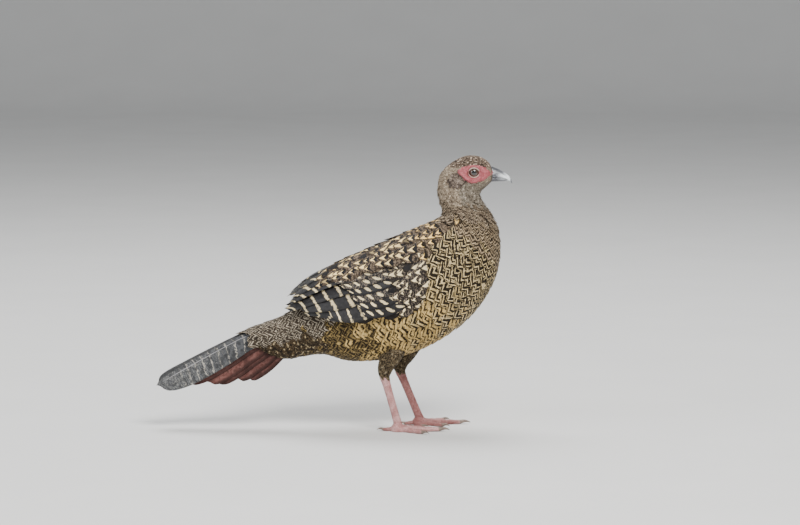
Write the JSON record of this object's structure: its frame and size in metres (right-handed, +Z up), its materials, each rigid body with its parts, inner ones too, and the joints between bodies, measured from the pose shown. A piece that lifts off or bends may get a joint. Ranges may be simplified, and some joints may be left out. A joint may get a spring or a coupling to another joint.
{
  "type": "swinhoes pheasant hen",
  "caption": "Life-size hen Swinhoe's pheasant standing alert in profile, barred brown and buff plumage, red face, wings folded, tail down behind",
  "frame": {"origin": "On the floor, in the middle of the standing bird's bounding box seen from above", "axes": "+X the way the bird faces, +Y the bird's left side, +Z up"},
  "size_m": [0.413, 0.1212, 0.3156],
  "materials": {
    "plumage": "buff and dark brown chevroned feathers",
    "neck_plumage": "fine grey-brown speckled feathers",
    "wing_plumage": "near black feathers barred with cream",
    "tail_plumage": "grey-black centre feathers, chestnut outer ones",
    "bare_skin": "crimson facial skin with fine bumps",
    "leg_scales": "dull red scales",
    "horn": "pale blue-grey horn",
    "claw": "dark brown horn",
    "eye": "wet dark brown"
  },
  "bodies": {
    "root": {"bill_lower": "horn", "bill_upper": "horn", "eye_left": "eye", "eye_right": "eye", "face_left": "bare_skin", "face_right": "bare_skin", "head": "neck_plumage", "neck": "neck_plumage", "torso": "plumage", "tail": "tail_plumage", "wing_left": "wing_plumage", "wing_right": "wing_plumage", "thigh_left": "plumage", "shank_left": "leg_scales", "foot_left": "leg_scales", "toe_inner_left": "leg_scales", "claw_inner_left": "claw", "toe_middle_left": "leg_scales", "claw_middle_left": "claw", "toe_outer_left": "leg_scales", "claw_outer_left": "claw", "toe_hind_left": "leg_scales", "claw_hind_left": "claw", "thigh_right": "plumage", "shank_right": "leg_scales", "foot_right": "leg_scales", "toe_inner_right": "leg_scales", "claw_inner_right": "claw", "toe_middle_right": "leg_scales", "claw_middle_right": "claw", "toe_outer_right": "leg_scales", "claw_outer_right": "claw", "toe_hind_right": "leg_scales", "claw_hind_right": "claw"}
  },
  "joints": []
}
